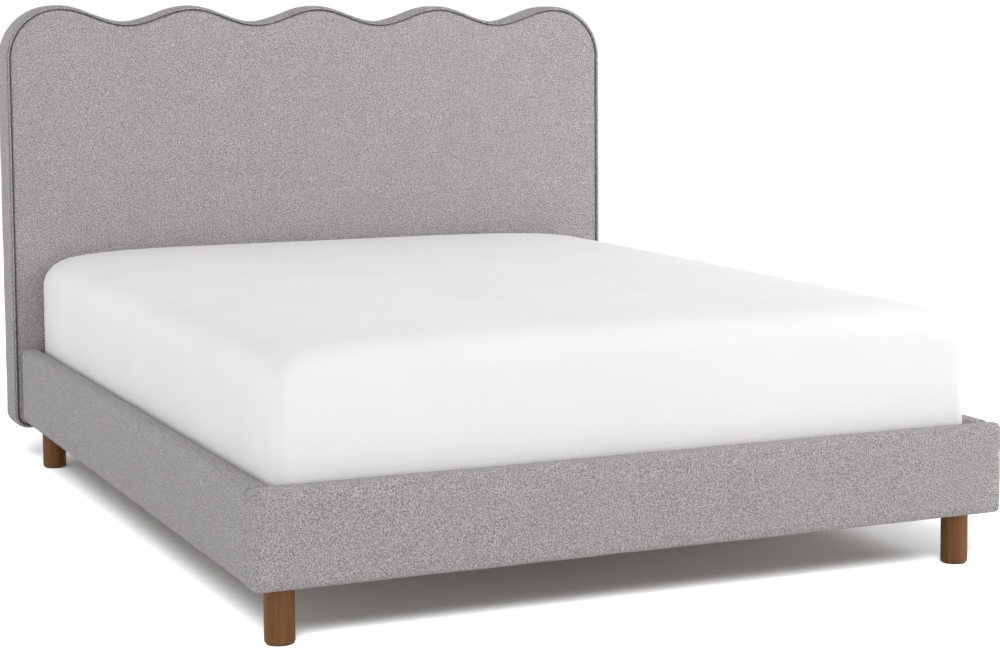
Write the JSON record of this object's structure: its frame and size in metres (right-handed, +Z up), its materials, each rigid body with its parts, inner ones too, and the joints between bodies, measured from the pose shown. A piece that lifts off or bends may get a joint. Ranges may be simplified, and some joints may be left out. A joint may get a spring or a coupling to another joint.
{
  "type": "upholstered platform bed",
  "caption": "Upholstered platform bed with a wavy-topped padded headboard, padded rails, round wooden legs, slats and a mattress in a fitted sheet",
  "frame": {"origin": "on the floor under the middle of the bed's overall box", "axes": "+X to the right side of the bed as seen from its foot, +Y to the headboard, +Z up"},
  "size_m": [1.674, 2.204, 1.197],
  "materials": {
    "upholstery": "matte",
    "sheet_cotton": "matte",
    "mattress_ticking": "matte",
    "dust_cloth": "matte",
    "foam": "matte",
    "felt": "matte",
    "webbing": "matte",
    "walnut": "satin",
    "plywood": "matte",
    "softwood": "matte",
    "black_steel": "satin",
    "zinc_steel": "satin",
    "black_plastic": "matte"
  },
  "bodies": {
    "bed_frame": {"headboard_panel": "plywood", "headboard_frame": "softwood", "left_rail_board": "softwood", "right_rail_board": "softwood", "foot_rail_board": "softwood", "left_slat_ledger": "softwood", "right_slat_ledger": "softwood", "centre_beam": "softwood", "slat_1": "softwood", "slat_2": "softwood", "slat_3": "softwood", "slat_4": "softwood", "slat_5": "softwood", "slat_6": "softwood", "slat_7": "softwood", "slat_8": "softwood", "slat_9": "softwood", "slat_10": "softwood", "slat_11": "softwood", "slat_12": "softwood", "headboard_face_foam": "foam", "headboard_edge_foam": "foam", "left_rail_foam": "foam", "right_rail_foam": "foam", "foot_rail_foam": "foam", "headboard_face_cover": "upholstery", "headboard_boxing_band": "upholstery", "headboard_piping": "upholstery", "left_rail_cover": "upholstery", "right_rail_cover": "upholstery", "foot_rail_cover": "upholstery", "headboard_dust_cover": "dust_cloth", "front_left_bracket": "black_steel", "front_right_bracket": "black_steel", "rear_left_bracket": "black_steel", "rear_right_bracket": "black_steel", "foot_beam_hanger": "black_steel", "head_beam_hanger": "black_steel", "front_support_leg": "black_steel", "rear_support_leg": "black_steel", "front_left_leg": "walnut", "front_right_leg": "walnut", "rear_left_leg": "walnut", "rear_right_leg": "walnut", "front_left_glide": "felt", "front_right_glide": "felt", "rear_left_glide": "felt", "rear_right_glide": "felt", "leg_studs": "zinc_steel", "leg_nuts": "zinc_steel", "rail_bolts": "zinc_steel", "tee_nuts": "zinc_steel", "wood_screws": "zinc_steel", "ledger_screws": "zinc_steel", "support_leg_inserts": "black_plastic", "slat_webbing": "webbing"},
    "mattress_set": {"mattress": "mattress_ticking", "fitted_sheet": "sheet_cotton"},
    "front_foot": {"front_levelling_foot": "black_plastic"},
    "rear_foot": {"rear_levelling_foot": "black_plastic"}
  },
  "joints": [
    {"name": "mattress_lift", "type": "slide", "parent": "bed_frame", "child": "mattress_set", "axis": [0, 0, 1], "range_m": [0, 0.35]},
    {"name": "front_foot_screw", "type": "slide", "parent": "bed_frame", "child": "front_foot", "axis": [0, 0, 1], "range_m": [-0.015, 0]},
    {"name": "rear_foot_screw", "type": "slide", "parent": "bed_frame", "child": "rear_foot", "axis": [0, 0, 1], "range_m": [-0.015, 0]}
  ]
}
